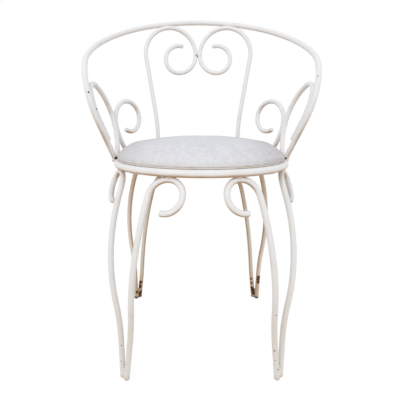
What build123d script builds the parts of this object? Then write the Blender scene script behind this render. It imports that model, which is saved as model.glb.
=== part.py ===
# Garden armchair of bent round bar with a padded seat that lifts out.
# Sizes are in millimetres. Z is up, the chair faces -Y, and it stands on Z = 0.
from build123d import *
import os
from math import atan2, cos, degrees, hypot, radians, sin

os.makedirs("parts", exist_ok=True)

# Bar sizes, the root gap that weld metal fills, and the rounding of a bar's free end
RING_BAR = 15.0
RAIL_BAR = 12.0
SCROLL_BAR = 11.0
LEG_BAR = 12.0
ROOT_GAP = 0.3
END_ROUND = 4.0

# Seat ring
RING_RADIUS = 187.5
RING_HEIGHT = 441.0

# Arm rail: a half circle that slopes down to the front, a nose, and a straight foot
RAIL_RADIUS = 248.5
RAIL_RISE = 349.0
RAIL_TOP_BACK = 229.5
RAIL_SLOPE_ANGLE = 28.4
RAIL_FOOT_RUN = 97.0
RAIL_FOOT_OUT = 7.0
RAIL_FOOT_UP = 5.0
RAIL_FOOT_SINK = 5.0

# Front arm scroll: lies along the rail, loops over, and comes down to the ring
FRONT_SCROLL_END_LENGTH = 44.0
FRONT_SCROLL_HUG_ANGLE = 33.0
FRONT_SCROLL_LOOP_RADIUS = 22.0
FRONT_SCROLL_LOOP_ANGLE = 111.0
FRONT_SCROLL_BACK_ANGLE = 90.0
FRONT_SCROLL_FOOT_RADIUS = 184.0
FRONT_SCROLL_FOOT_ANGLE = 11.5
FRONT_SCROLL_TWIST_ANGLE = -5.3

# Rear arm scroll: stands on the ring, leans on the front scroll, curls to the back
REAR_SCROLL_YAW_ANGLE = 61.7
REAR_SCROLL_LEAN_ANGLE = 6.8
REAR_SCROLL_START_ANGLE = 51.0
REAR_SCROLL_STEM_RADIUS = 121.0
REAR_SCROLL_STEM_ANGLE = 41.0
REAR_SCROLL_TOP_RADIUS = 54.0
REAR_SCROLL_TOP_ANGLE = 130.0
REAR_SCROLL_SIDE_RADIUS = 34.0
REAR_SCROLL_SIDE_ANGLE = 97.0
REAR_SCROLL_END_RADIUS = 43.0
REAR_SCROLL_END_ANGLE = 84.0

# Back scroll: an upright that ends in a big inward scroll
BACK_SCROLL_YAW_ANGLE = 13.8
BACK_SCROLL_LEAN_ANGLE = 7.4
BACK_SCROLL_START_ANGLE = 5.7
BACK_SCROLL_FOOT_RADIUS = 488.0
BACK_SCROLL_FOOT_ANGLE = 13.5
BACK_SCROLL_TOP_RADIUS = 70.5
BACK_SCROLL_SIDE_RADIUS = 66.5
BACK_SCROLL_BOTTOM_RADIUS = 50.0
BACK_SCROLL_CURL_RADIUS = 33.5
BACK_SCROLL_END_RADIUS = 38.0
BACK_SCROLL_END_ANGLE = 108.0

# Where the scrolls stand on the ring: outside the seat pad
SCROLL_FOOT_OUT = 6.2
SCROLL_FOOT_SINK = 3.0

# Legs: two bars from one foot; under the ring the front ones end in scrolls, the back ones in a bend,
# which is wide on the bar nearer the middle of the back
FRONT_FOOT_RADIUS = 231.0
BACK_FOOT_RADIUS = 255.0
LEG_INSET = 5.0
LEG_TURN_ANGLE = 18.9
LEG_SPREAD_ANGLE = 7.3
LEG_KICK_RADIUS = 488.0
LEG_KICK_ANGLE = 9.2
LEG_BOW_RADIUS = 473.0
LEG_BOW_ANGLE = 29.1
LEG_SCROLL_TOP_RADIUS = 39.8
LEG_SCROLL_SIDE_RADIUS = 29.6
LEG_SCROLL_END_RADIUS = 35.0
LEG_SCROLL_END_ANGLE = 93.0
BACK_LEG_BEND_RADIUS = 100.0
BACK_LEG_BEND_ANGLE = 32.0
BACK_LEG_SLOPE_LENGTH = 38.0
BACK_LEG_REST = 14.0
FOOT_ROUND = 2.0
FOOT_TRIM = 8.0

# Weld metal
FOOT_FILLER_LOW = 2.5
FOOT_FILLER_HIGH = 27.0
FOOT_FILLER_DEPTH = 9.5
LEG_WELD_RADIUS = 5.0
RING_WELD_RADIUS = 7.6
RING_WELD_OFFSET = 1.2
SCROLL_WELD_RADIUS = 4.2
SCROLL_WELD_OFFSET = 4.4

# Tabs inside the ring that carry the seat
LUG_COUNT = 4
LUG_WIDTH = 22.0
LUG_LENGTH = 34.0
LUG_THICKNESS = 4.0

# Seat
BOARD_RADIUS = 174.5
BOARD_THICKNESS = 12.0
PAD_RADIUS = 187.0
PAD_RISE = 51.0
PAD_SIDE_RADIUS = 32.0
EDGE_BAND_HEIGHT = 5.0
EDGE_TUCK = 2.5
COVER_THICKNESS = 1.2
TURN_UNDER = 22.0
DUST_CLOTH_THICKNESS = 0.6
DUST_CLOTH_MARGIN = 3.0
TACK_COUNT = 24
TACK_HEAD_RADIUS = 3.5
TACK_HEAD_HEIGHT = 1.4
TACK_INSET = 9.0
SEAT_CLEARANCE = 0.5

UP = Vector(0, 0, 1)
ring_line = Edge.make_circle(RING_RADIUS, Plane((0, 0, RING_HEIGHT)))
ring_crown = RING_HEIGHT + RING_BAR / 2


def pen(plane, heading, runs):
    """Straight runs and bends on a plane, each going on from the last; where they end."""
    x = 0.0
    y = 0.0
    for run in runs:
        start = plane.from_local_coords((x, y, 0))
        if len(run) == 1:
            x += run[0] * cos(radians(heading))
            y += run[0] * sin(radians(heading))
            Line(start, plane.from_local_coords((x, y, 0)))
            continue
        radius, turn = run
        side = 1 if turn > 0 else -1
        centre_x = x - side * radius * sin(radians(heading))
        centre_y = y + side * radius * cos(radians(heading))
        points = []
        for share in (0.5, 1.0):
            angle = radians(heading + turn * share)
            x = centre_x + side * radius * sin(angle)
            y = centre_y - side * radius * cos(angle)
            points.append(plane.from_local_coords((x, y, 0)))
        ThreePointArc(start, points[0], points[1])
        heading += turn
    end = plane.from_local_coords((x, y, 0))
    ahead = plane.from_local_coords((x + cos(radians(heading)), y + sin(radians(heading)), 0))
    return end, ahead - end


def settle(miss, far, near):
    """The value between far and near where a miss distance comes down to nothing."""
    for step in range(34):
        middle = (far + near) / 2
        if miss(middle) > 0:
            far = middle
        else:
            near = middle
    return (far + near) / 2


def bar(line, diameter, free_end=None):
    """A round bar along a line, rounded at its free end."""
    with BuildPart() as piece:
        with BuildLine() as path:
            add(line)
        with BuildSketch(Plane(origin=path.line @ 0, z_dir=path.line % 0)):
            Circle(diameter / 2)
        sweep()
        if free_end is not None:
            fillet(piece.faces().sort_by_distance(line @ free_end)[0].edges(), END_ROUND)
    return piece.part


def standing_bar(line, diameter, name, free_end=None):
    """A round bar whose foot is shaped to stand on the ring."""
    with BuildPart() as piece:
        add(bar(line, diameter, free_end))
        with Locations((0, 0, RING_HEIGHT)):
            Torus(RING_RADIUS, RING_BAR / 2 + ROOT_GAP, mode=Mode.SUBTRACT)
    piece.part.label = name
    return piece.part


def bead(place, radius, pieces):
    """A lump of weld metal round a touching place, up to the pieces that it joins."""
    with BuildPart() as lump:
        with Locations(place):
            Sphere(radius, rotation=(35, 25, 0))
        for piece in pieces:
            add(piece, mode=Mode.SUBTRACT)
    return lump.solids().sort_by(SortBy.VOLUME)[-1]


def left_of(place):
    return Vector(-place.X, place.Y, place.Z)


def mirrored(line):
    """The same line for the left of the chair."""
    return line.mirror(Plane.YZ)


pieces = []


def keep(part):
    pieces.append(part)
    return part


# The hoop under the seat
with BuildPart() as seat_ring:
    with Locations((0, 0, RING_HEIGHT)):
        Torus(RING_RADIUS, RING_BAR / 2)
seat_ring.part.label = "seat_ring"
keep(seat_ring.part)

# The rail's right half in points: the half circle's end, the nose and the straight foot
slope_forward = Vector(0, -cos(radians(RAIL_SLOPE_ANGLE)), -sin(radians(RAIL_SLOPE_ANGLE)))
rail_top = Vector(0, RAIL_TOP_BACK, RING_HEIGHT + RAIL_RISE)
rail_side = rail_top + slope_forward * RAIL_RADIUS + Vector(RAIL_RADIUS, 0, 0)
rail_foot = Vector(RING_RADIUS + RAIL_FOOT_OUT, 0, RING_HEIGHT + RAIL_FOOT_UP)
reach = rail_foot - rail_side
nose_down = (reach - slope_forward * reach.dot(slope_forward)).normalized()
nose_plane = Plane(origin=rail_side, x_dir=slope_forward, z_dir=slope_forward.cross(nose_down))
foot_x = reach.dot(slope_forward)
foot_y = reach.dot(nose_down)
nose_radius = (foot_x**2 + foot_y**2 - RAIL_FOOT_RUN**2) / (2 * foot_y)
nose_turn = 90 + degrees(atan2(foot_y - nose_radius, foot_x) - atan2(RAIL_FOOT_RUN, nose_radius))
with BuildLine() as rail_half:
    pen(nose_plane, 0, [(nose_radius, nose_turn), (RAIL_FOOT_RUN + RAIL_FOOT_SINK,)])
with BuildLine() as rail_whole:
    add(rail_half.line)
    ThreePointArc(rail_side, rail_top, left_of(rail_side))
    add(mirrored(rail_half.line))
rail_line = Wire(rail_whole.edges())
arm_rail = keep(standing_bar(rail_line, RAIL_BAR, "arm_rail"))

# Where feet stand on the ring
stand_radius = RING_RADIUS + SCROLL_FOOT_OUT
stand_height = RING_HEIGHT + SCROLL_FOOT_SINK

# Front arm scrolls: the back bend is as large as brings the scroll's foot down to the ring
foot_way = rail_half.line % 1
inside = nose_plane.z_dir.cross(foot_way)
twist = radians(FRONT_SCROLL_TWIST_ANGLE)
scroll_side = inside * cos(twist) + nose_plane.z_dir * sin(twist)
beside_rail = (RAIL_BAR + SCROLL_BAR) / 2 + ROOT_GAP
front_scroll_plane = Plane(
    origin=rail_foot - foot_way * FRONT_SCROLL_END_LENGTH + inside * beside_rail,
    x_dir=foot_way * -1,
    z_dir=scroll_side.cross(foot_way),
)


def front_scroll_line(back_radius):
    runs = [
        (RAIL_FOOT_RUN - FRONT_SCROLL_END_LENGTH,),
        (nose_radius - beside_rail, FRONT_SCROLL_HUG_ANGLE),
        (FRONT_SCROLL_LOOP_RADIUS, FRONT_SCROLL_LOOP_ANGLE),
        (back_radius, FRONT_SCROLL_BACK_ANGLE),
        (FRONT_SCROLL_FOOT_RADIUS, -FRONT_SCROLL_FOOT_ANGLE),
    ]
    with BuildLine() as line:
        pen(front_scroll_plane, 0, runs)
    return Wire(line.edges())


def front_scroll_miss(back_radius):
    return (front_scroll_line(back_radius) @ 1).Z - stand_height


front_line = front_scroll_line(settle(front_scroll_miss, FRONT_SCROLL_LOOP_RADIUS, RAIL_RISE / 2))
arm_front_scroll_right = keep(standing_bar(front_line, SCROLL_BAR, "arm_front_scroll_right", 0))
arm_front_scroll_left = keep(standing_bar(mirrored(front_line), SCROLL_BAR, "arm_front_scroll_left", 0))


# Scrolls that stand on the ring share one way of setting their plane
def standing_plane(foot, yaw, lean):
    """A plane through a foot on the ring: x points towards the back's middle, y up."""
    inward = Vector(-cos(radians(yaw)), sin(radians(yaw)), 0)
    outward = Vector(sin(radians(yaw)), cos(radians(yaw)), 0)
    rise = UP * cos(radians(lean)) + outward * sin(radians(lean))
    return Plane(origin=foot, x_dir=inward, z_dir=inward.cross(rise))


# Rear arm scrolls: their place round the ring is where they touch the front ones
def rear_scroll_line(angle):
    foot = Vector(stand_radius * cos(radians(angle)), stand_radius * sin(radians(angle)), stand_height)
    with BuildLine() as line:
        pen(
            standing_plane(foot, REAR_SCROLL_YAW_ANGLE, REAR_SCROLL_LEAN_ANGLE),
            90 + REAR_SCROLL_START_ANGLE,
            [
                (REAR_SCROLL_STEM_RADIUS, -REAR_SCROLL_STEM_ANGLE),
                (REAR_SCROLL_TOP_RADIUS, -REAR_SCROLL_TOP_ANGLE),
                (REAR_SCROLL_SIDE_RADIUS, -REAR_SCROLL_SIDE_ANGLE),
                (REAR_SCROLL_END_RADIUS, -REAR_SCROLL_END_ANGLE),
            ],
        )
    return Wire(line.edges())


def rear_scroll_miss(angle):
    return rear_scroll_line(angle).distance_to(front_line) - SCROLL_BAR - ROOT_GAP


rear_line = rear_scroll_line(settle(rear_scroll_miss, 45.0, 18.0))
arm_rear_scroll_right = keep(standing_bar(rear_line, SCROLL_BAR, "arm_rear_scroll_right", 1))
arm_rear_scroll_left = keep(standing_bar(mirrored(rear_line), SCROLL_BAR, "arm_rear_scroll_left", 1))


# Back scrolls: they touch each other in the middle and the rail above
def back_scroll_runs(upright):
    lean_out = BACK_SCROLL_FOOT_ANGLE - BACK_SCROLL_START_ANGLE
    return [
        (BACK_SCROLL_FOOT_RADIUS, BACK_SCROLL_FOOT_ANGLE),
        (upright,),
        (BACK_SCROLL_TOP_RADIUS, -90 - lean_out),
        (BACK_SCROLL_SIDE_RADIUS, -90),
        (BACK_SCROLL_BOTTOM_RADIUS, -90),
        (BACK_SCROLL_CURL_RADIUS, -90),
        (BACK_SCROLL_END_RADIUS, -BACK_SCROLL_END_ANGLE),
    ]


def back_scroll_at(foot_x, upright):
    foot = Vector(foot_x, (stand_radius**2 - foot_x**2) ** 0.5, stand_height)
    with BuildLine() as line:
        plane = standing_plane(foot, BACK_SCROLL_YAW_ANGLE, BACK_SCROLL_LEAN_ANGLE)
        pen(plane, 90 - BACK_SCROLL_START_ANGLE, back_scroll_runs(upright))
    return Wire(line.edges())


def back_scroll_line(upright):
    trial_x = stand_radius / 2
    trial = back_scroll_at(trial_x, upright)
    short = (SCROLL_BAR + ROOT_GAP) / 2 - trial.bounding_box().min.X
    return back_scroll_at(trial_x + short, upright)


def back_scroll_miss(upright):
    return back_scroll_line(upright).distance_to(rail_line) - beside_rail


trial_top = back_scroll_line(BACK_SCROLL_TOP_RADIUS).bounding_box().max.Z
rail_reach = BACK_SCROLL_TOP_RADIUS + rail_top.Z - trial_top - RAIL_BAR / 3
back_line = back_scroll_line(settle(back_scroll_miss, rail_reach - 4 * RAIL_BAR, rail_reach))
back_scroll_right = keep(standing_bar(back_line, SCROLL_BAR, "back_scroll_right", 1))
back_scroll_left = keep(standing_bar(mirrored(back_line), SCROLL_BAR, "back_scroll_left", 1))


# Legs
front_leg_top = [
    (LEG_SCROLL_TOP_RADIUS, 90),
    (LEG_SCROLL_SIDE_RADIUS, 90),
    (LEG_SCROLL_END_RADIUS, LEG_SCROLL_END_ANGLE),
]
back_leg_side_top = [(LEG_SCROLL_TOP_RADIUS, 90), (BACK_LEG_REST,)]
back_leg_top = [
    (BACK_LEG_BEND_RADIUS, BACK_LEG_BEND_ANGLE),
    (BACK_LEG_SLOPE_LENGTH,),
    (LEG_SCROLL_TOP_RADIUS, 90 - BACK_LEG_BEND_ANGLE),
    (BACK_LEG_REST,),
]


def leg_line(corner, hand, foot_radius, top_runs, lean, straight):
    """The middle line of a leg bar: straight from the foot, kicked out, bowed in, then its top."""
    out = Vector(cos(radians(corner)), sin(radians(corner)), 0)
    along = Vector(-sin(radians(corner)), cos(radians(corner)), 0) * hand
    inward = (out * cos(radians(LEG_TURN_ANGLE)) + along * sin(radians(LEG_TURN_ANGLE))) * -1
    rise = UP * cos(radians(LEG_SPREAD_ANGLE)) + along * sin(radians(LEG_SPREAD_ANGLE))
    across = inward.cross(rise)
    foot = out * foot_radius + along * ((LEG_BAR + ROOT_GAP) / 2)
    plane = Plane(origin=foot, x_dir=inward, z_dir=across)
    heading = 90 - lean
    step_x = FOOT_TRIM * cos(radians(heading))
    step_y = FOOT_TRIM * sin(radians(heading))
    toe = plane.from_local_coords((-step_x, -step_y, 0))
    bow = [(FOOT_TRIM + straight,), (LEG_KICK_RADIUS, LEG_KICK_ANGLE), (LEG_BOW_RADIUS, -LEG_BOW_ANGLE)]
    with BuildLine() as line:
        top, upward = pen(Plane(origin=toe, x_dir=inward, z_dir=across), heading, bow)
        scroll_way = plane.z_dir if plane.z_dir.dot(along) > 0 else plane.z_dir * -1
        pen(Plane(origin=top, x_dir=upward, z_dir=upward.cross(scroll_way)), 0, top_runs)
    return Wire(line.edges())


under_ring = (RING_BAR + LEG_BAR) / 2 + ROOT_GAP


def leg_fit(corner, hand, foot_radius, top_runs):
    """The lean and the straight length that bring a leg's top under the ring."""
    lean = 0.0
    for step in range(7):
        top = leg_line(corner, hand, foot_radius, top_runs, lean, 0).bounding_box().max.Z

        def miss(straight):
            line = leg_line(corner, hand, foot_radius, top_runs, lean, straight)
            return line.distance_to(ring_line) - under_ring

        straight = settle(miss, RING_HEIGHT - top - 3 * under_ring, RING_HEIGHT - top)
        line = leg_line(corner, hand, foot_radius, top_runs, lean, straight)
        gap, on_leg, on_ring = line.distance_to_with_closest_points(ring_line)
        lean += degrees((hypot(on_leg.X, on_leg.Y) - RING_RADIUS + LEG_INSET) / RING_HEIGHT)
    return lean, settle(miss, RING_HEIGHT - top - 3 * under_ring, RING_HEIGHT - top)


def leg_bar(line, name):
    """A leg bar with its foot cut flat on the floor and its edge rounded."""
    with BuildPart() as piece:
        add(bar(line, LEG_BAR, 1))
        split(bisect_by=Plane.XY, keep=Keep.TOP)
        fillet(piece.faces().sort_by(Axis.Z)[0].edges(), FOOT_ROUND)
    piece.part.label = name
    return piece.part


leg_beads = []
fillers = []
for end, foot_radius, side_top, end_top, corner in (
    ("front", FRONT_FOOT_RADIUS, front_leg_top, front_leg_top, -45),
    ("back", BACK_FOOT_RADIUS, back_leg_side_top, back_leg_top, 45),
):
    side_hand = 1 if end == "front" else -1
    pair = []
    for place, hand, top_runs in (("side", side_hand, side_top), (end, -side_hand, end_top)):
        lean, straight = leg_fit(corner, hand, foot_radius, top_runs)
        line = leg_line(corner, hand, foot_radius, top_runs, lean, straight)
        right = keep(leg_bar(line, end + "_right_leg_" + place + "_rod"))
        left = keep(leg_bar(mirrored(line), end + "_left_leg_" + place + "_rod"))
        pair.append(right)
        gap, on_leg, on_ring = line.distance_to_with_closest_points(ring_line)
        touch = on_leg + (on_ring - on_leg).normalized() * (LEG_BAR + ROOT_GAP) / 2
        leg_beads.append(bead(touch, LEG_WELD_RADIUS, [seat_ring.part, right]))
        leg_beads.append(bead(left_of(touch), LEG_WELD_RADIUS, [seat_ring.part, left]))
    foot = Vector(foot_radius * cos(radians(corner)), foot_radius * sin(radians(corner)), 0)
    with BuildPart() as filler:
        with BuildSketch(Plane(origin=foot + UP * FOOT_FILLER_LOW, x_dir=foot)):
            Rectangle(FOOT_FILLER_DEPTH, LEG_BAR)
        extrude(amount=FOOT_FILLER_HIGH - FOOT_FILLER_LOW)
        for leg in pair:
            add(leg, mode=Mode.SUBTRACT)
        mirror(about=Plane.YZ)
    fillers.append(filler.part)

# Weld metal between the two bars of each foot
with BuildPart() as foot_fillers:
    add(fillers)
foot_fillers.part.label = "foot_fillers"
keep(foot_fillers.part)

# Weld beads where the leg scrolls meet the ring
with BuildPart() as leg_welds:
    add(leg_beads)
leg_welds.part.label = "leg_welds"
keep(leg_welds.part)

# Weld beads where the rail and the scrolls stand on the ring, clear of the seat pad
with BuildPart() as seat_room:
    with Locations((0, 0, RING_HEIGHT)):
        Cylinder(PAD_RADIUS + SEAT_CLEARANCE, 4 * RING_BAR)
with BuildPart() as ring_welds:
    for foot, right, left in (
        (rail_foot, arm_rail, arm_rail),
        (front_line @ 1, arm_front_scroll_right, arm_front_scroll_left),
        (rear_line @ 0, arm_rear_scroll_right, arm_rear_scroll_left),
        (back_line @ 0, back_scroll_right, back_scroll_left),
    ):
        outside = Vector(foot.X, foot.Y, 0).normalized() * RING_WELD_OFFSET
        place = foot + outside + UP * RING_WELD_OFFSET
        add(bead(place, RING_WELD_RADIUS, [seat_ring.part, right, seat_room.part]))
        add(bead(left_of(place), RING_WELD_RADIUS, [seat_ring.part, left, seat_room.part]))
ring_welds.part.label = "ring_welds"
keep(ring_welds.part)


# Weld beads where scrolls touch the rail and each other, in the groove on the outer side
def groove(place, across, along):
    """The middle of the outer groove beside the place where two bars touch."""
    outward = across.cross(along).normalized()
    if outward.dot(Vector(place.X, place.Y, 0)) < 0:
        outward = outward * -1
    return place + outward * SCROLL_WELD_OFFSET


def groove_between(first, second):
    gap, on_first, on_second = first.distance_to_with_closest_points(second)
    across = (on_second - on_first).normalized()
    return groove(on_first + across * (SCROLL_BAR + ROOT_GAP) / 2, across, first.tangent_at(on_first))


hug_end = front_line @ 0 - foot_way * (RAIL_FOOT_RUN - FRONT_SCROLL_END_LENGTH)
hug_groove = groove(hug_end - inside * (SCROLL_BAR + ROOT_GAP) / 2, inside, foot_way)
curl_groove = groove_between(rear_line, front_line)
top_groove = groove_between(back_line, rail_line)
middle_groove = groove_between(back_line, mirrored(back_line))
with BuildPart() as scroll_welds:
    add(bead(hug_groove, SCROLL_WELD_RADIUS, [arm_rail, arm_front_scroll_right]))
    add(bead(curl_groove, SCROLL_WELD_RADIUS, [arm_front_scroll_right, arm_rear_scroll_right]))
    add(bead(top_groove, SCROLL_WELD_RADIUS, [arm_rail, back_scroll_right]))
    mirror(about=Plane.YZ)
    add(bead(middle_groove, SCROLL_WELD_RADIUS, [back_scroll_right, back_scroll_left]))
scroll_welds.part.label = "scroll_welds"
keep(scroll_welds.part)

# Seat heights, from the ring up and down
pad_bottom = ring_crown + SEAT_CLEARANCE
board_top = pad_bottom + COVER_THICKNESS
board_bottom = board_top - BOARD_THICKNESS
seat_underside = board_bottom - COVER_THICKNESS
lug_top = seat_underside - SEAT_CLEARANCE
pad_top = pad_bottom + PAD_RISE
seam_height = pad_bottom + EDGE_BAND_HEIGHT

# Flat tabs welded inside the ring
with BuildPart() as seat_lugs:
    with Locations((0, 0, lug_top)):
        with PolarLocations(RING_RADIUS, LUG_COUNT, start_angle=45):
            Box(LUG_LENGTH, LUG_WIDTH, LUG_THICKNESS, align=(Align.MAX, Align.CENTER, Align.MAX))
    add(seat_ring.part, mode=Mode.SUBTRACT)
seat_lugs.part.label = "seat_lugs"
keep(seat_lugs.part)


def crown_radius(side, width, low, top):
    """The radius of a crown that runs smoothly into a side of its own radius."""
    across = width - side
    down = low - top
    return (side**2 - across**2 - down**2) / (2 * (down + side))


def pad_outline(inset):
    """Half of the pad's section above the seam, drawn in by an inset."""
    side = PAD_SIDE_RADIUS - inset
    width = PAD_RADIUS - inset
    top = pad_top - inset
    crown = crown_radius(side, width, seam_height, top)
    middle_x = width - side
    middle_z = seam_height
    crown_z = top - crown
    turn = atan2(middle_x, middle_z - crown_z)
    meet = (crown * sin(turn), crown_z + crown * cos(turn))
    half = turn / 2
    side_angle = (turn + radians(90)) / 2
    crown_point = (crown * sin(half), crown_z + crown * cos(half))
    side_point = (middle_x + side * sin(side_angle), middle_z + side * cos(side_angle))
    return (0, top), crown_point, meet, side_point, (width, seam_height)


# Plywood disc
with BuildPart() as seat_board:
    with BuildSketch(Plane((0, 0, board_bottom))):
        Circle(BOARD_RADIUS)
    extrude(amount=BOARD_THICKNESS)
seat_board.part.label = "seat_board"
keep(seat_board.part)

# Foam: crowned, with sides that draw in to the band
foam_low = PAD_RADIUS - COVER_THICKNESS - EDGE_TUCK
with BuildPart() as seat_foam:
    with BuildSketch(Plane.XZ):
        with BuildLine():
            top, crown_point, meet, side_point, seam = pad_outline(COVER_THICKNESS)
            ThreePointArc(top, crown_point, meet)
            ThreePointArc(meet, side_point, seam)
            Line(seam, (foam_low, board_top))
            Line((foam_low, board_top), (0, board_top))
            Line((0, board_top), top)
        make_face()
    revolve(axis=Axis.Z)
seat_foam.part.label = "seat_foam"
keep(seat_foam.part)

# Cover: the top panel, down to the seam
with BuildPart() as seat_cover:
    with BuildSketch(Plane.XZ):
        with BuildLine():
            top, crown_point, meet, side_point, seam = pad_outline(0)
            ThreePointArc(top, crown_point, meet)
            ThreePointArc(meet, side_point, seam)
            inner_top, inner_crown, inner_meet, inner_side, inner_seam = pad_outline(COVER_THICKNESS)
            Line(seam, inner_seam)
            ThreePointArc(inner_seam, inner_side, inner_meet)
            ThreePointArc(inner_meet, inner_crown, inner_top)
            Line(inner_top, top)
        make_face()
    revolve(axis=Axis.Z)
seat_cover.part.label = "seat_cover"
keep(seat_cover.part)

# Edge band: from the seam down, under the pad's edge, round the board and turned under
turn_in = BOARD_RADIUS - TURN_UNDER
with BuildPart() as seat_edge_band:
    with BuildSketch(Plane.XZ):
        with BuildLine():
            Polyline(
                (PAD_RADIUS, seam_height),
                (PAD_RADIUS - EDGE_TUCK, pad_bottom),
                (BOARD_RADIUS + COVER_THICKNESS, pad_bottom),
                (BOARD_RADIUS + COVER_THICKNESS, seat_underside),
                (turn_in, seat_underside),
                (turn_in, board_bottom),
                (BOARD_RADIUS, board_bottom),
                (BOARD_RADIUS, board_top),
                (foam_low, board_top),
                (PAD_RADIUS - COVER_THICKNESS, seam_height),
                close=True,
            )
        make_face()
    revolve(axis=Axis.Z)
seat_edge_band.part.label = "seat_edge_band"
keep(seat_edge_band.part)

# Cloth under the board
with BuildPart() as seat_dust_cloth:
    with BuildSketch(Plane((0, 0, board_bottom - DUST_CLOTH_THICKNESS))):
        Circle(turn_in - DUST_CLOTH_MARGIN)
    extrude(amount=DUST_CLOTH_THICKNESS)
seat_dust_cloth.part.label = "seat_dust_cloth"
keep(seat_dust_cloth.part)

# Tacks that hold the turned-under edge, clear of the tabs
with BuildPart() as seat_tacks:
    half_step = 180 / TACK_COUNT
    with Locations((0, 0, seat_underside)):
        with PolarLocations(BOARD_RADIUS - TACK_INSET, TACK_COUNT, start_angle=half_step):
            Cone(
                TACK_HEAD_RADIUS / 2,
                TACK_HEAD_RADIUS,
                TACK_HEAD_HEIGHT,
                align=(Align.CENTER, Align.CENTER, Align.MAX),
            )
seat_tacks.part.label = "seat_tacks"
keep(seat_tacks.part)

# The origin is on the floor under the middle of the chair's whole depth
depths = [part.bounding_box(optimal=True) for part in pieces]
front_most = min(box.min.Y for box in depths)
back_most = max(box.max.Y for box in depths)
to_middle = Location((0, -(front_most + back_most) / 2, 0))
for part in pieces:
    placed = part.moved(to_middle)
    placed.label = part.label
    export_step(placed, "parts/" + part.label + ".step")
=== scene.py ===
"""Looks for a garden armchair of bent round bar with a round padded seat.

Everything is in metres, in the chair's own frame: Z up, the chair faces -Y.
"""

import math

import bmesh
import bpy
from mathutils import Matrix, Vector, noise


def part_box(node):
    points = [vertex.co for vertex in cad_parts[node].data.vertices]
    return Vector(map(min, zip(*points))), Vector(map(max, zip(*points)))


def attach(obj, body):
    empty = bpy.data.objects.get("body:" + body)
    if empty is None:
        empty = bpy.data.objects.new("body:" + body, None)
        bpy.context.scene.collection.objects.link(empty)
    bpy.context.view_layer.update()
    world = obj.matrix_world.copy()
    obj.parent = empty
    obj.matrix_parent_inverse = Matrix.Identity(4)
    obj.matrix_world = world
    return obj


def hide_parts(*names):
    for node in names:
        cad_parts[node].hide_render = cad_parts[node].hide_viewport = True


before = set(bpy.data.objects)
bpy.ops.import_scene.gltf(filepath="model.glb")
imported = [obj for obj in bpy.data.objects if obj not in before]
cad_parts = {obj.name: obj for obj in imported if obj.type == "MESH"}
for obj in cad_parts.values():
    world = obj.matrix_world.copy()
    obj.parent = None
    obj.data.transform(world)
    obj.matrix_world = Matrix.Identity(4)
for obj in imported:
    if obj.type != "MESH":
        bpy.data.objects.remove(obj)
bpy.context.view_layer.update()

# Heights and radii of the seat, read from its solids
RING_LOW, RING_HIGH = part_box("seat_ring")
COVER_LOW, COVER_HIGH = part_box("seat_cover")
BOARD_LOW, BOARD_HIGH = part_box("seat_board")
CLOTH_LOW, CLOTH_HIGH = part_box("seat_dust_cloth")
SEAT_X = (RING_LOW[0] + RING_HIGH[0]) / 2
SEAT_Y = (RING_LOW[1] + RING_HIGH[1]) / 2
PAD_RADIUS = (COVER_HIGH[0] - COVER_LOW[0]) / 2
PAD_TOP = COVER_HIGH[2]
SEAM_DROP = 0.0016
SEAM_HEIGHT = COVER_LOW[2] - SEAM_DROP
BOARD_RADIUS = (BOARD_HIGH[0] - BOARD_LOW[0]) / 2
BOARD_TOP = BOARD_HIGH[2]
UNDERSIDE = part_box("seat_edge_band")[0][2]
CLOTH_RADIUS = (CLOTH_HIGH[0] - CLOTH_LOW[0]) / 2

# The pad: a flat crown that runs into a rounded side, tucked in under its seam
PAD_SIDE = 0.032
PAD_TURNS = 128
CROWN_STEPS = 24
SIDE_STEPS = 12
SIDE_EASE = 0.0003
TUCK = 0.0015
TUCK_DROP = 0.0016
SEAM_LIP = 0.0004
BOARD_GAP = 0.0004

# How the pad swells: by how much, in what mesh and steps, and what is held below
PAD_SWELL = 0.0015
PAD_VOXEL = 0.005
PAD_PRESSURE = 4.0
SWELL_STEPS = 20
HELD_HEIGHT = 0.002

# Marks of a hand-covered pad: flush low sides, dips on the crown, puckers near the edge
FLUSH_HEIGHT = 0.012
DIP_DEPTH = 0.0005
DIP_GRAIN = 14
PUCKER_START = 0.155
PUCKER_DEPTH = 0.0005
PUCKER_COUNT = 46
PUCKER_SWAY = 3
PUCKER_GRAIN = 9

# The edge band, its folds, deepest at the front right, and its gathers under the board
BAND_THICKNESS = 0.00096
BAND_DROP = 0.0036
BAND_INSET = 0.0007
BAND_WRAP = 0.0012
BAND_TURN_UNDER = 0.0218
BAND_TURNS = 360
BAND_GRAIN = 9
BAND_GRAIN_UPWARD = 30
FOLD_FLOOR = 0.0002
FOLD_GRAIN = 1.6
FOLD_DEPTH = 0.00025
FOLD_LIMIT = 0.0003
FOLD_LIFT = 0.5
DEEP_FOLD_DEPTH = 0.0006
DEEP_FOLD_ANGLE = -0.62
DEEP_FOLD_FOCUS = 12
GATHER_CEILING = 0.0012
GATHER_START = 0.0044
GATHER_COUNT = 60
GATHER_SWAY = 4
GATHER_GRAIN = 0.3
GATHER_DEPTH = 0.0004
HEM_WANDER = 0.0012
HEM_GRAIN = 0.7

# The dust cloth: its mesh, the slack places round its edge, and its sag and ripples
CLOTH_ROWS = 26
CLOTH_TURNS = 120
CLOTH_LIFT = 0.0003
SLACK_COUNT = 12
SLACK_DEPTH = 0.0012
SAG_DEPTH = 0.0003
SAG_POWER = 6
RIPPLE_DEPTH = 0.00015
RIPPLE_GRAIN = 40

# Where the camera stood, and how it looked at the chair
CAMERA_PLACE = (-0.0360, -0.8155, 0.5362)
CAMERA_YAW = math.radians(0.2)
CAMERA_PITCH = math.radians(13.102)
CAMERA_LENS = 31.316
CAMERA_SENSOR = 36
CAMERA_SHIFT = 0.0353
CAMERA_NEAR = 0.01

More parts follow.
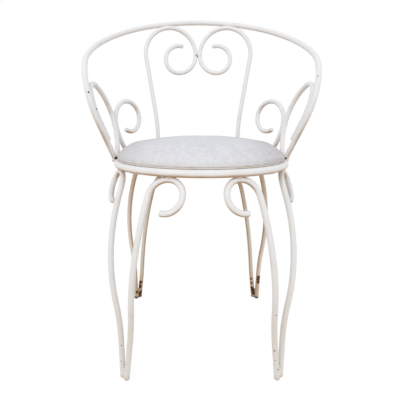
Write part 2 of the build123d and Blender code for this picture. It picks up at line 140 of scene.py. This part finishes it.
# The floor's half width, how much of what the eye sees of it is plain white, and how bright
FLOOR_REACH = 6.0
FLOOR_WHITE_SHARE = 0.90
FLOOR_WHITE = 1.028

# Daylight all round, and the point that the lamps aim at
SKY_COLOUR = (0.972, 0.984, 1.0, 1.0)
SKY_STRENGTH = 0.80
PLAIN_WHITE = (1, 1, 1, 1)
LAMP_AIM = (0, 0, 0.45)

# Paint chips and pits on the bars and the joints, each a place and a radius
CHIPS = (
    ((-0.2332, -0.0689, 0.5897), 0.0022),
    ((-0.2221, -0.0551, 0.5566), 0.0018),
    ((0.2391, -0.0587, 0.6226), 0.0016),
    ((-0.0045, 0.1986, 0.7063), 0.0022),
    ((-0.0017, 0.1998, 0.7027), 0.0020),
    ((-0.2010, 0.0300, 0.5290), 0.0020),
    ((0.2010, 0.0300, 0.5290), 0.0020),
    ((-0.1919, -0.0228, 0.4494), 0.0050),
    ((0.1939, -0.0239, 0.4491), 0.0034),
    ((0.1448, -0.2004, 0.1595), 0.0014),
    ((0.1479, -0.1920, 0.0734), 0.0018),
    ((0.1503, -0.1911, 0.0508), 0.0015),
    ((0.1578, -0.1905, 0.0281), 0.0018),
    ((-0.1743, -0.1740, 0.0285), 0.0016),
    ((-0.1691, -0.1726, 0.0730), 0.0013),
    ((-0.1701, -0.1767, 0.0378), 0.0014),
)

# Rust that has eaten into the back feet, each a place and a radius
RUST_SPOTS = (
    ((0.1702, 0.1634, 0.0300), 0.0066),
    ((0.1730, 0.1628, 0.0225), 0.0076),
    ((0.1751, 0.1624, 0.0150), 0.0080),
    ((0.1850, 0.1428, 0.0770), 0.0066),
    ((0.1850, 0.1440, 0.0685), 0.0080),
    ((0.1850, 0.1450, 0.0590), 0.0070),
    ((0.1664, 0.1653, 0.0603), 0.0038),
    ((0.1682, 0.1642, 0.0475), 0.0042),
    ((-0.1716, 0.1642, 0.0502), 0.0060),
    ((-0.1752, 0.1646, 0.0368), 0.0085),
    ((-0.1700, 0.1644, 0.0134), 0.0120),
    ((-0.1799, 0.1517, 0.0240), 0.0060),
)

# Heights and distances over which the paint changes
HIGH_BARS = (0.50, 0.62)
ABOVE_LOW_LEGS = (0.05, 0.24)
ABOVE_FEET = (0.03, 0.12)
ABOVE_FOOT_ENDS = (0.002, 0.012)
BACK_HALF = (0.02, 0.06)
UNDER_RING = (RING_LOW[2] - 0.02, RING_LOW[2])
UPPER_BACK_LEGS = (0.22, 0.40)
BESIDE_SLIT = (0.0022, 0.0062)
SLIT_BOTTOM = (0.026, 0.030)
SLIT_TOP = (0.07, 0.10)
ABOVE_RUSTED_ENDS = (0.004, 0.010)
ABOVE_RUST_STAIN = (0.035, 0.085)

# Where the pad's nap is least worn and most lit, how far from there it is flat and in painted
# shade, and heights on the pad's side
FRESH_LIT_NAP = (SEAT_X - 0.012, SEAT_Y - 0.09, PAD_TOP - 0.01)
WORN_SHADED_NAP = (0.07, 0.20)
PAD_SIDE_TOP = (SEAM_HEIGHT + 0.004, SEAM_HEIGHT + 0.026)
PAD_LOW_EDGE = (SEAM_HEIGHT, SEAM_HEIGHT + 0.003)


def shade(red, green, blue):
    """A colour read off a screen, as the renderer counts light."""
    channels = []
    for level in (red, green, blue):
        part = level / 255
        channels.append(part / 12.92 if part <= 0.04045 else ((part + 0.055) / 1.055) ** 2.4)
    return (*channels, 1.0)


# Old paint with its painted shade in tan and cream, bare metal and rust
WHITE_PAINT = shade(241, 241, 242)
DULL_PAINT = shade(232, 231, 230)
# Tan for real stains, and as painted shade under the bars and on the back legs; cream as painted
# shade on the back legs
STAIN_AND_SHADE_TAN = shade(190, 152, 108)
UNDER_SEAT_SHADE_CREAM = shade(236, 226, 213)
GREYED_PAINT = shade(229, 220, 206)
BARE_IRON = shade(80, 58, 45)
DARK_RUST = shade(66, 36, 20)
RED_RUST = shade(128, 84, 52)
BLUED_STEEL = shade(120, 120, 124)

# Suede, fresh and worn with painted shade, with a pale side of painted light, and the cloth of its
# edge band
SUEDE_DARK = shade(218, 218, 222)
SUEDE_LIGHT = shade(232, 232, 236)
SUEDE_STROKE = shade(234, 235, 239)
SUEDE_FIBRE = shade(205, 204, 208)
# Painted light on the pad's side
SUEDE_LIT_SIDE = shade(244, 245, 249)
# Worn suede, greyer partly as painted shade
WORN_SHADED_DARK = shade(191, 188, 189)
WORN_SHADED_LIGHT = shade(207, 204, 205)
WORN_SHADED_FIBRE = shade(182, 179, 180)
DARK_LOW_EDGE = shade(214, 205, 198)
BAND_DARK = shade(222, 213, 206)
BAND_LIGHT = shade(231, 223, 216)
BAND_SOIL = shade(204, 188, 172)

# Under the seat
FELT_BLACK = shade(38, 37, 38)
FELT_DUST = shade(96, 90, 84)
PLY_PALE = shade(206, 178, 138)
PLY_BROWN = shade(178, 142, 98)
PLY_PORE = shade(140, 104, 70)

# The floor, to the chair and to the eye
WARM_FLOOR = shade(214, 202, 188)
PALE_FLOOR = shade(245, 245, 245)


class Value:
    """A node's output that can be written into sums."""

    def __init__(self, finish, socket):
        self.finish = finish
        self.socket = socket

    def maths(self, operation, *others):
        inputs = dict(enumerate((self, *others)))
        return self.finish.node("ShaderNodeMath", {"operation": operation}, inputs)

    def __add__(self, other):
        return self.maths("ADD", other)

    __radd__ = __add__

    def __mul__(self, other):
        return self.maths("MULTIPLY", other)

    def __sub__(self, other):
        return self.maths("SUBTRACT", other)

    def __rsub__(self, other):
        return self.finish.node("ShaderNodeMath", {"operation": "SUBTRACT"}, {0: other, 1: self})

    def unsigned(self):
        return self.maths("ABSOLUTE")

    def most(self, other):
        return self.maths("MAXIMUM", other)

    def rise(self, start, end):
        """0 below start, 1 above end, and smooth between them."""
        settings = {"interpolation_type": "SMOOTHSTEP"}
        sockets = {"Value": self, "From Min": start, "From Max": end}
        return self.finish.node("ShaderNodeMapRange", settings, sockets)

    def sway(self, noise_value, reach):
        """Pushed up and down by a noise around its middle."""
        return self + (noise_value - 0.5) * reach


class Finish:
    """A tree of nodes: a material's, or the daylight's."""

    def __init__(self, owner):
        owner.use_nodes = True
        self.tree = owner.node_tree
        self.place = self.node("ShaderNodeTexCoord", out="Object")

    def node(self, kind, settings=None, sockets=None, out=0):
        made = self.tree.nodes.new(kind)
        for name, value in (settings or {}).items():
            setattr(made, name, value)
        for name, value in (sockets or {}).items():
            if isinstance(value, Value):
                self.tree.links.new(value.socket, made.inputs[name])
            else:
                made.inputs[name].default_value = value
        return Value(self, made.outputs[out])

    def axis(self, vector, letter):
        return self.node("ShaderNodeSeparateXYZ", None, {0: vector}, out=letter)

    def stretched(self, x, y, z):
        """The surface's own coordinates, scaled along each axis."""
        sockets = {0: self.place, 1: (x, y, z)}
        return self.node("ShaderNodeVectorMath", {"operation": "MULTIPLY"}, sockets)

    def distance(self, point):
        """How far the surface is from a point."""
        sockets = {0: self.place, 1: point}
        return self.node("ShaderNodeVectorMath", {"operation": "DISTANCE"}, sockets, out="Value")

    def clouds(self, size, detail=3.0, rough=0.5, place=None):
        """Soft noise from 0 to 1 whose patches are about a size across."""
        sockets = {"Vector": place or self.place, "Scale": 1 / size}
        sockets |= {"Detail": detail, "Roughness": rough}
        return self.node("ShaderNodeTexNoise", None, sockets)

    def cells(self, size, place=None):
        """The distance to the middle of the nearest of many cells of a size."""
        sockets = {"Vector": place or self.place, "Scale": 1 / size}
        return self.node("ShaderNodeTexVoronoi", None, sockets, out="Distance")

    def spots(self, places, ragged):
        """1 at any of the places, each with its radius, and 0 elsewhere, with ragged edges."""
        found = None
        for place, radius in places:
            spot = 1 - self.distance(place).sway(ragged, radius).rise(radius * 0.7, radius)
            found = spot if found is None else found.most(spot)
        return found

    def blend(self, amount, first, second):
        """The second colour over the first by an amount."""
        sockets = {0: amount, 6: first, 7: second}
        return self.node("ShaderNodeMix", {"data_type": "RGBA"}, sockets, out=2)

    def join(self, value, node, socket):
        self.tree.links.new(value.socket, self.tree.nodes[node].inputs[socket])

    def seen_white(self, lit, white):
        """The lit shader, but the white one to the eye, in reflections and through clear things."""
        seen = self.node("ShaderNodeLightPath", out="Is Camera Ray")
        rays = seen.socket.node.outputs
        for ray in ("Is Glossy Ray", "Is Transmission Ray"):
            seen = seen.most(Value(self, rays[ray]))
        return self.node("ShaderNodeMixShader", None, {0: seen, 1: lit, 2: white})


class Coat(Finish):
    """A material for the chair's surfaces."""

    def __init__(self, name, **constants):
        self.material = bpy.data.materials.new(name)
        super().__init__(self.material)
        shader = self.tree.nodes["Principled BSDF"]
        for word, value in constants.items():
            socket = word.replace("_", " ").title().replace("Ior", "IOR")
            shader.inputs[socket].default_value = value

    def wear(self, colour, roughness, height, depth):
        """Joins the colour, the roughness and the relief to the shader."""
        relief = {"Height": height, "Distance": depth, "Strength": 1.0}
        bump = self.node("ShaderNodeBump", None, relief)
        for socket, value in (("Base Color", colour), ("Roughness", roughness), ("Normal", bump)):
            self.join(value, "Principled BSDF", socket)
        return self.material


def old_white_paint(name, lumps):
    """Thick white brush paint: painted shade in tan on the bars' undersides and the back legs,
    chipped, and rusted at the back feet.
    """
    paint = Coat(name, metallic=0.0, coat_weight=0.15, coat_roughness=0.25)
    height = paint.axis(paint.place, "Z")
    across = paint.axis(paint.place, "X")
    depth = paint.axis(paint.place, "Y")
    facing = paint.node("ShaderNodeNewGeometry", out="Normal")
    downward = 0 - paint.axis(facing, "Z")
    drift = paint.clouds(size=0.035, detail=4.0)
    grain = paint.clouds(size=0.004, detail=3.0)
    brush = paint.clouds(size=0.006, detail=2.0, place=paint.stretched(1.0, 1.0, 0.15))

    # Dull patches, and painted shade in tan where the bars face the ground, less on the high ones
    colour = paint.blend(drift.rise(0.50, 0.78) * 0.5, WHITE_PAINT, DULL_PAINT)
    shaded_underside = downward.sway(drift, 0.5).rise(0.10, 0.70)
    underside_shade_share = 0.9 - height.rise(*HIGH_BARS) * 0.72
    colour = paint.blend(shaded_underside * underside_shade_share, colour, STAIN_AND_SHADE_TAN)

    # Greyed low on the legs, and scuffed at the ends of the feet
    low_down = 1 - height.sway(drift, 0.10).rise(*ABOVE_LOW_LEGS)
    grey_share = 0.25 + height.rise(*ABOVE_FEET) * 0.50
    colour = paint.blend(low_down * grey_share, colour, GREYED_PAINT)
    scuffed = 1 - height.sway(drift, 0.02).rise(*ABOVE_FOOT_ENDS)
    colour = paint.blend(scuffed * 0.35, colour, STAIN_AND_SHADE_TAN)

    # Painted shade on the back legs under the seat: creamed, and tan on their inner sides and close
    # under the seat
    behind = depth.rise(*BACK_HALF) * (1 - height.rise(*UNDER_RING))
    facing_in = 0 - paint.axis(facing, "X") * across.maths("SIGN")
    shaded_back_legs = facing_in.sway(drift, 0.6).rise(0.0, 0.8).most(height.rise(*UPPER_BACK_LEGS) * 0.7)
    colour = paint.blend(behind * 0.8, colour, UNDER_SEAT_SHADE_CREAM)
    colour = paint.blend(shaded_back_legs * behind * 0.85, colour, STAIN_AND_SHADE_TAN)

    # Rust-brown in the slit between the two bars of a foot
    from_slit = (across.unsigned() - (depth - SEAT_Y).unsigned()).unsigned()
    slit = (1 - from_slit.rise(*BESIDE_SLIT)) * (1 - height.rise(*SLIT_TOP))
    slit = slit * height.rise(*SLIT_BOTTOM)
    colour = paint.blend(slit * 0.9, colour, RED_RUST)

    # Pin-prick pits in the paint, browned
    pitted = paint.clouds(size=0.05, detail=2.0).rise(0.52, 0.66)
    pits = (1 - paint.cells(size=0.016).rise(0.035, 0.075)) * pitted
    colour = paint.blend(pits * 0.7, colour, RED_RUST)

    # Chips down to the iron, and rust on a tan stain low on the back legs
    chips = paint.spots(CHIPS, grain)
    colour = paint.blend(chips, colour, BARE_IRON)
    ragged = paint.clouds(size=0.012, detail=5.0, rough=0.65)
    ends = (1 - height.sway(ragged, 0.03).rise(*ABOVE_RUSTED_ENDS)) * behind
    eaten = paint.spots(RUST_SPOTS, ragged).most(ends * 0.8)
    stain = (1 - height.sway(ragged, 0.12).rise(*ABOVE_RUST_STAIN)) * behind
    colour = paint.blend(stain * 0.5, colour, STAIN_AND_SHADE_TAN)
    scale = paint.clouds(size=0.003, detail=4.0)
    rust = paint.blend(scale.rise(0.45, 0.7), DARK_RUST, RED_RUST)
    colour = paint.blend(eaten, colour, rust)

    roughness = 0.36 + drift * 0.14 + shaded_underside * 0.1 + pits * 0.3
    roughness = roughness.most(chips * 0.7).most(eaten * 0.9)
    relief = drift * lumps + brush * 0.15 + grain * 0.06
    relief = relief - pits * 0.5 - chips * 0.7 - eaten * (0.4 + scale)
    return paint.wear(colour, roughness, relief, 0.0006)


def grey_suede():
    """Brushed suede cloth: a short nap in faint strokes, worn flat and greyer to the sides and
    back, the grey partly painted shade, and paler low on its side as painted light.
    """
    soft = {"specular_ior_level": 0.08, "sheen_weight": 0.04, "sheen_roughness": 0.5}
    suede = Coat("grey_suede", metallic=0.0, **soft)
    nap = suede.clouds(size=0.007, detail=5.0, rough=0.6, place=suede.stretched(1.0, 0.7, 1.0))
    strokes = suede.clouds(size=0.06, place=suede.stretched(1.2, 0.6, 1.0))
    fibre = suede.clouds(size=0.0011, detail=3.0, rough=0.7)
    height = suede.axis(suede.place, "Z").sway(nap, 0.006)
    lying = nap.rise(0.25, 0.75)
    loose_fibre = fibre.rise(0.55, 0.8) * 0.3

    fresh = suede.blend(lying, SUEDE_DARK, SUEDE_LIGHT)
    fresh = suede.blend(strokes.rise(0.45, 0.75) * 0.35, fresh, SUEDE_STROKE)
    fresh = suede.blend(loose_fibre, fresh, SUEDE_FIBRE)
    # Painted light: the pad's low side is paler
    side = 1 - height.rise(*PAD_SIDE_TOP)
    fresh = suede.blend(side * 0.35, fresh, SUEDE_LIT_SIDE)

    # Worn flat, and greyer away from the front of the crown as painted shade
    flattened_and_shaded = suede.blend(lying, WORN_SHADED_DARK, WORN_SHADED_LIGHT)
    flattened_and_shaded = suede.blend(loose_fibre, flattened_and_shaded, WORN_SHADED_FIBRE)
    worn_and_shaded = suede.distance(FRESH_LIT_NAP).sway(strokes, 0.06).rise(*WORN_SHADED_NAP)
    colour = suede.blend(worn_and_shaded * 0.85, fresh, flattened_and_shaded)
    # Darker and warmer at the pad's low edge by the seam
    low_edge = 1 - height.rise(*PAD_LOW_EDGE)
    colour = suede.blend(low_edge * 0.4, colour, DARK_LOW_EDGE)
    return suede.wear(colour, 0.86 + nap * 0.1, fibre * 0.6 + nap * 0.4, 0.0004)


def band_cloth():
    """The same cloth pulled tight round the edge, and dirtier."""
    soft = {"specular_ior_level": 0.15, "sheen_weight": 0.06, "sheen_roughness": 0.5}
    cloth = Coat("band_cloth", metallic=0.0, **soft)
    nap = cloth.clouds(size=0.010, detail=4.0, rough=0.6)
    fibre = cloth.clouds(size=0.0012, detail=3.0, rough=0.7)
    soil = cloth.clouds(size=0.05, detail=3.0).rise(0.42, 0.7)
    colour = cloth.blend(nap.rise(0.3, 0.7), BAND_DARK, BAND_LIGHT)
    colour = cloth.blend(soil * 0.5, colour, BAND_SOIL)
    return cloth.wear(colour, 0.88 + nap * 0.08, fibre * 0.6 + nap, 0.0005)


def black_felt():
    """Thin black dust cloth with an open weave."""
    felt = Coat("black_felt", metallic=0.0)
    thread = felt.cells(size=0.0016, place=felt.stretched(1.0, 0.45, 1.0))
    dust = felt.clouds(size=0.06, detail=5.0).rise(0.45, 0.75)
    colour = felt.blend(dust * 0.4, FELT_BLACK, FELT_DUST)
    return felt.wear(colour, 0.9 + dust * 0.08, thread + dust * 0.2, 0.0004)


def birch_ply():
    """Rotary-cut birch plywood."""
    ply = Coat("birch_ply", metallic=0.0)
    rings = ply.clouds(size=0.03, detail=4.0, rough=0.6, place=ply.stretched(0.25, 2.0, 1.0))
    pores = ply.clouds(size=0.002, detail=2.0, place=ply.stretched(0.12, 1.0, 1.0))
    colour = ply.blend(rings.rise(0.3, 0.75), PLY_PALE, PLY_BROWN)
    colour = ply.blend(pores.rise(0.55, 0.8) * 0.5, colour, PLY_PORE)
    return ply.wear(colour, 0.62 + rings * 0.15, pores * 0.5 + rings * 0.3, 0.0003)


def tack_steel():
    """Blued tack heads with a little rust."""
    steel = Coat("tack_steel", metallic=0.9)
    spots = steel.clouds(size=0.003, detail=4.0, rough=0.6).rise(0.52, 0.72)
    scratch = steel.clouds(size=0.0008, detail=2.0)
    colour = steel.blend(spots, BLUED_STEEL, RED_RUST)
    return steel.wear(colour, 0.38 + spots * 0.45, scratch + spots, 0.0002)


def new_piece(name, mesh_maker, finish, body, slot, *nodes):
    """A mesh piece that stands for CAD nodes and moves with their body."""
    sheet = bmesh.new()
    mesh_maker(sheet)
    bmesh.ops.recalc_face_normals(sheet, faces=sheet.faces)
    mesh = bpy.data.meshes.new(name)
    sheet.to_mesh(mesh)
    sheet.free()
    piece = bpy.data.objects.new(name, mesh)
    bpy.context.scene.collection.objects.link(piece)
    mesh.materials.append(finish)
    mesh.shade_smooth()
    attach(piece, body)
    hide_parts(*nodes)
    return piece


def turned(sheet, section, steps, place, closed):
    """A section turned about the seat's axis; place(radius, height, angle) gives each point."""
    rings = []
    for step in range(steps):
        angle = 2 * math.pi * step / steps
        rings.append([sheet.verts.new(place(radius, height, angle)) for radius, height in section])
    count = len(section)
    for step in range(steps):
        here, there = rings[step], rings[(step + 1) % steps]
        for index in range(count if closed else count - 1):
            after = (index + 1) % count
            sheet.faces.new((here[index], there[index], there[after], here[after]))
    return rings


def seat_point(radius, height, angle):
    return (SEAT_X + radius * math.cos(angle), SEAT_Y + radius * math.sin(angle), height)


def pad_side(inset):
    """The two arcs of the pad's outline, drawn in by an inset.

    Gives the side's radius, its middle's distance from the axis, the crown's radius, its
    middle's height, and the angle at which the crown runs into the side.
    """
    side = PAD_SIDE - inset
    across = PAD_RADIUS - PAD_SIDE
    drop = SEAM_HEIGHT - (PAD_TOP - inset)
    crown = (side**2 - across**2 - drop**2) / (2 * (drop + side))
    crown_middle = PAD_TOP - inset - crown
    return side, across, crown, crown_middle, math.atan2(across, SEAM_HEIGHT - crown_middle)


def pad_section(inset):
    """Points of the pad's half section from its crown down to the seam."""
    side, across, crown, crown_middle, turn = pad_side(inset)
    points = []
    for step in range(1, CROWN_STEPS + 1):
        angle = turn * step / CROWN_STEPS
        points.append((crown * math.sin(angle), crown_middle + crown * math.cos(angle)))
    for step in range(1, SIDE_STEPS + 1):
        angle = turn + (math.pi / 2 - turn) * step / SIDE_STEPS
        points.append((across + side * math.sin(angle), SEAM_HEIGHT + side * math.cos(angle)))
    return points


def pad_limit(radius):
    """The greatest height of the pad at a distance from its axis."""
    side, across, crown, crown_middle, turn = pad_side(0)
    if radius <= crown * math.sin(turn):
        return crown_middle + math.sqrt(crown**2 - radius**2)
    over = min(radius - across, side)
    return SEAM_HEIGHT + math.sqrt(max(side**2 - over**2, 0))


def pad_reach(height):
    """The pad's greatest radius at a height."""
    side, across, crown, crown_middle, turn = pad_side(0)
    up = height - SEAM_HEIGHT
    if up <= side * math.cos(turn):
        return across + math.sqrt(side**2 - up**2) - SIDE_EASE
    return math.sqrt(max(crown**2 - (height - crown_middle) ** 2, 0))


def pad_blank(sheet):
    """The pad before it swells: a little flatter, closed underneath."""
    floor_height = BOARD_TOP + BOARD_GAP
    section = pad_section(PAD_SWELL)
    section.append((PAD_RADIUS - PAD_SWELL - TUCK, SEAM_HEIGHT - TUCK_DROP))
    section.append((BOARD_RADIUS, floor_height))
    rings = turned(sheet, section, PAD_TURNS, seat_point, False)
    top = sheet.verts.new(seat_point(0, PAD_TOP - PAD_SWELL, 0))
    low = sheet.verts.new(seat_point(0, floor_height, 0))
    for step in range(PAD_TURNS):
        here, there = rings[step], rings[(step + 1) % PAD_TURNS]
        sheet.faces.new((top, here[0], there[0]))
        sheet.faces.new((low, there[-1], here[-1]))


def settle(piece):
    """Makes what the modifiers show the piece's own mesh."""
    seen = piece.evaluated_get(bpy.context.evaluated_depsgraph_get())
    mesh = bpy.data.meshes.new_from_object(seen)
    piece.modifiers.clear()
    old = piece.data
    piece.data = mesh
    bpy.data.meshes.remove(old)


def swell(pad):
    """Blows the pad up like stuffed cloth that is held at its seam."""
    scene = bpy.context.scene
    remesh = pad.modifiers.new("even_mesh", "REMESH")
    remesh.mode = "VOXEL"
    remesh.voxel_size = PAD_VOXEL
    settle(pad)
    held = pad.vertex_groups.new(name="held")
    for vertex in pad.data.vertices:
        low = vertex.co.z < SEAM_HEIGHT + HELD_HEIGHT
        held.add([vertex.index], 1.0 if low else 0.0, "REPLACE")
    cloth = pad.modifiers.new("stuffing", "CLOTH")
    cloth.settings.quality = 5
    cloth.settings.mass = 0.3
    cloth.settings.tension_stiffness = 12
    cloth.settings.bending_stiffness = 0.6
    cloth.settings.use_pressure = True
    cloth.settings.uniform_pressure_force = PAD_PRESSURE
    cloth.settings.effector_weights.gravity = 0
    cloth.settings.vertex_group_mass = "held"
    cloth.point_cache.frame_start = 1
    cloth.point_cache.frame_end = SWELL_STEPS
    for step in range(1, SWELL_STEPS + 1):
        scene.frame_set(step)
    settle(pad)
    scene.frame_set(1)


def hand_shape(pad):
    """Keeps the pad in its outline and out to its seam, with the dips of a hand-covered pad."""
    for vertex in pad.data.vertices:
        x, y, z = vertex.co
        radius = math.hypot(x - SEAT_X, y - SEAT_Y)
        angle = math.atan2(y - SEAT_Y, x - SEAT_X)
        if z < SEAM_HEIGHT:
            full = PAD_RADIUS - TUCK
            if radius > BOARD_RADIUS:
                vertex.co.z = SEAM_HEIGHT - SEAM_LIP
        else:
            full = pad_reach(z)
        if radius > full or (z < SEAM_HEIGHT + FLUSH_HEIGHT and radius > BOARD_RADIUS):
            vertex.co.x = SEAT_X + (x - SEAT_X) * full / radius
            vertex.co.y = SEAT_Y + (y - SEAT_Y) * full / radius
            radius = full
        if z > SEAM_HEIGHT:
            spot = Vector((x, y, 0))
            near_edge = max(0.0, (radius - PUCKER_START) / (PAD_RADIUS - PUCKER_START))
            dip = DIP_DEPTH * (noise.noise(spot * DIP_GRAIN) + 1) * (1 - near_edge)
            wave = angle * PUCKER_COUNT + PUCKER_SWAY * noise.noise(spot * PUCKER_GRAIN)
            pucker = PUCKER_DEPTH * near_edge * (1 + math.sin(wave))
            vertex.co.z = min(z, pad_limit(radius)) - dip - pucker


def band_strip(sheet):
    """The edge band: out of the seam, under the pad's edge, round the board and turned under."""
    low = SEAM_HEIGHT - BAND_DROP
    edge = PAD_RADIUS - BAND_INSET
    wrap = BOARD_RADIUS + BAND_WRAP
    inner = BOARD_RADIUS - BAND_TURN_UNDER
    outer_face = [
        (edge - 0.0034, SEAM_HEIGHT - 0.0006),
        (edge - 0.0010, SEAM_HEIGHT - 0.0006),
        (edge - 0.0002, SEAM_HEIGHT - 0.0010),
        (edge, SEAM_HEIGHT - 0.0017),
        (edge, low + 0.0010),
        (edge - 0.0003, low + 0.0004),
        (edge - 0.0010, low),
        (edge - 0.0060, low),
        (wrap + 0.0012, low),
        (wrap, low - 0.0012),
        (wrap, UNDERSIDE + 0.0016),
        (wrap - 0.0012, UNDERSIDE + 0.0002),
        (wrap - 0.0090, UNDERSIDE + 0.0001),
        (inner + 0.0030, UNDERSIDE + 0.0002),
        (inner, UNDERSIDE + 0.0004),
    ]
    inner_face = []
    for index, (radius, height) in enumerate(outer_face):
        before = outer_face[max(index - 1, 0)]
        after = outer_face[min(index + 1, len(outer_face) - 1)]
        along = Vector((after[0] - before[0], after[1] - before[1])).normalized()
        back = (radius + along.y * BAND_THICKNESS, height - along.x * BAND_THICKNESS)
        inner_face.append(back)

    def place(radius, height, angle):
        """Folds the upright face, gathers what is turned under, and leaves the rest plain."""
        spot = Vector((math.cos(angle), math.sin(angle), height * BAND_GRAIN_UPWARD)) * BAND_GRAIN
        if height > low + FOLD_FLOOR:
            deep = max(0.0, math.cos(angle - DEEP_FOLD_ANGLE)) ** DEEP_FOLD_FOCUS
            fold = (FOLD_DEPTH + DEEP_FOLD_DEPTH * deep) * noise.noise(spot * FOLD_GRAIN)
            return seat_point(radius + min(fold, FOLD_LIMIT), height + fold * FOLD_LIFT, angle)
        if height < UNDERSIDE + GATHER_CEILING and BOARD_RADIUS - radius > GATHER_START:
            wave = angle * GATHER_COUNT + GATHER_SWAY * noise.noise(spot * GATHER_GRAIN)
            gather = GATHER_DEPTH * (0.5 + 0.5 * math.sin(wave))
            wander = HEM_WANDER * noise.noise(spot * HEM_GRAIN)
            return seat_point(radius + wander, height + gather, angle)
        return seat_point(radius, height, angle)

    turned(sheet, outer_face + inner_face[::-1], BAND_TURNS, place, True)


def dust_sheet(sheet):
    """The cloth under the board, drawn in and hanging a hair at the slack places of its edge."""
    level = CLOTH_LOW[2] + CLOTH_LIFT
    rings = []
    for row in range(1, CLOTH_ROWS + 1):
        radius = CLOTH_RADIUS * row / CLOTH_ROWS
        ring = []
        for step in range(CLOTH_TURNS):
            angle = 2 * math.pi * step / CLOTH_TURNS
            slack = 0.5 + 0.5 * math.cos(angle * SLACK_COUNT)
            edge = radius - (SLACK_DEPTH * slack if row == CLOTH_ROWS else 0)
            sag = SAG_DEPTH * slack * (row / CLOTH_ROWS) ** SAG_POWER
            spot = Vector((radius * math.cos(angle), radius * math.sin(angle), 0))
            ripple = RIPPLE_DEPTH * noise.noise(spot * RIPPLE_GRAIN)
            ring.append(sheet.verts.new(seat_point(edge, level - sag + ripple, angle)))
        rings.append(ring)
    middle = sheet.verts.new(seat_point(0, level, 0))
    for step in range(CLOTH_TURNS):
        after = (step + 1) % CLOTH_TURNS
        sheet.faces.new((middle, rings[0][step], rings[0][after]))
        for inner, outer in zip(rings, rings[1:]):
            sheet.faces.new((inner[step], outer[step], outer[after], inner[after]))


def finish_solids():
    """Finishes of the pieces that keep their solids' shape."""
    bar_paint = old_white_paint("old_white_paint", 0.9)
    weld_paint = old_white_paint("lumpy_weld_paint", 3.0)
    welds = ("ring_welds", "scroll_welds", "leg_welds", "foot_fillers")
    finishes = dict.fromkeys(welds, weld_paint)
    finishes |= {"seat_board": birch_ply(), "seat_tacks": tack_steel()}
    for name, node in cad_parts.items():
        node.data.materials.clear()
        node.data.materials.append(finishes.get(name, bar_paint))


def upholster():
    """The seat's soft pieces."""
    suede = grey_suede()
    seat_pad = new_piece("seat_pad", pad_blank, suede, "seat", "cover", "seat_foam", "seat_cover")
    swell(seat_pad)
    hand_shape(seat_pad)
    seat_pad.modifiers.new("smooth_cloth", "SUBSURF").render_levels = 1
    new_piece("edge_band", band_strip, band_cloth(), "seat", "edge_band", "seat_edge_band")
    felt = black_felt()
    dust_cloth = new_piece("dust_cloth", dust_sheet, felt, "seat", "dust_cloth", "seat_dust_cloth")


def set_camera():
    """The camera that took the photograph."""
    lens = bpy.data.cameras.new("camera")
    lens.lens = CAMERA_LENS
    lens.sensor_width = CAMERA_SENSOR
    lens.shift_x = CAMERA_SHIFT
    lens.clip_start = CAMERA_NEAR
    camera = bpy.data.objects.new("camera", lens)
    camera.location = CAMERA_PLACE
    camera.rotation_euler = (math.pi / 2 - CAMERA_PITCH, 0, -CAMERA_YAW)
    bpy.context.scene.collection.objects.link(camera)
    bpy.context.scene.camera = camera


def lay_floor():
    """A floor that warms the chair's underside and is white to the eye, but for a faint shadow."""
    corners = [(-1, -1), (1, -1), (1, 1), (-1, 1)]
    points = [(x * FLOOR_REACH, y * FLOOR_REACH, 0) for x, y in corners]
    mesh = bpy.data.meshes.new("floor")
    mesh.from_pydata(points, [], [(0, 1, 2, 3)])
    floor = bpy.data.objects.new("floor", mesh)
    bpy.context.scene.collection.objects.link(floor)
    material = bpy.data.materials.new("pale_floor")
    mesh.materials.append(material)
    paint = Finish(material)
    warm = paint.node("ShaderNodeBsdfDiffuse", None, {"Color": WARM_FLOOR})
    pale = paint.node("ShaderNodeBsdfDiffuse", None, {"Color": PALE_FLOOR})
    glow = {"Color": PLAIN_WHITE, "Strength": FLOOR_WHITE}
    white = paint.node("ShaderNodeEmission", None, glow)
    shadowed = paint.node("ShaderNodeMixShader", None, {0: FLOOR_WHITE_SHARE, 1: pale, 2: white})
    paint.join(paint.seen_white(warm, shadowed), "Material Output", "Surface")


def let_daylight_in():
    """Even light from all round that is plain white to the eye."""
    world = bpy.data.worlds.new("daylight")
    bpy.context.scene.world = world
    air = Finish(world)
    light = {"Color": SKY_COLOUR, "Strength": SKY_STRENGTH}
    sky = air.node("ShaderNodeBackground", None, light)
    white = air.node("ShaderNodeBackground", None, {"Color": PLAIN_WHITE, "Strength": 1.0})
    air.join(air.seen_white(sky, white), "World Output", "Surface")


def soft_lamp(name, place, size, power, colour):
    """A round lamp that shines on the middle of the chair."""
    lamp = bpy.data.lights.new(name, "AREA")
    lamp.shape = "DISK"
    lamp.size = size
    lamp.energy = power
    lamp.color = colour
    holder = bpy.data.objects.new(name, lamp)
    holder.location = place
    aim = Vector(LAMP_AIM) - Vector(place)
    holder.rotation_euler = aim.to_track_quat("-Z", "Y").to_euler()
    bpy.context.scene.collection.objects.link(holder)


finish_solids()
upholster()
set_camera()
lay_floor()
let_daylight_in()
soft_lamp("key", (-1.6, -2.6, 2.6), size=1.8, power=27, colour=(1.0, 0.995, 0.985))
soft_lamp("fill", (2.2, -2.2, 1.6), size=2.0, power=9, colour=(0.98, 0.99, 1.0))
bpy.context.scene.view_settings.view_transform = "Standard"
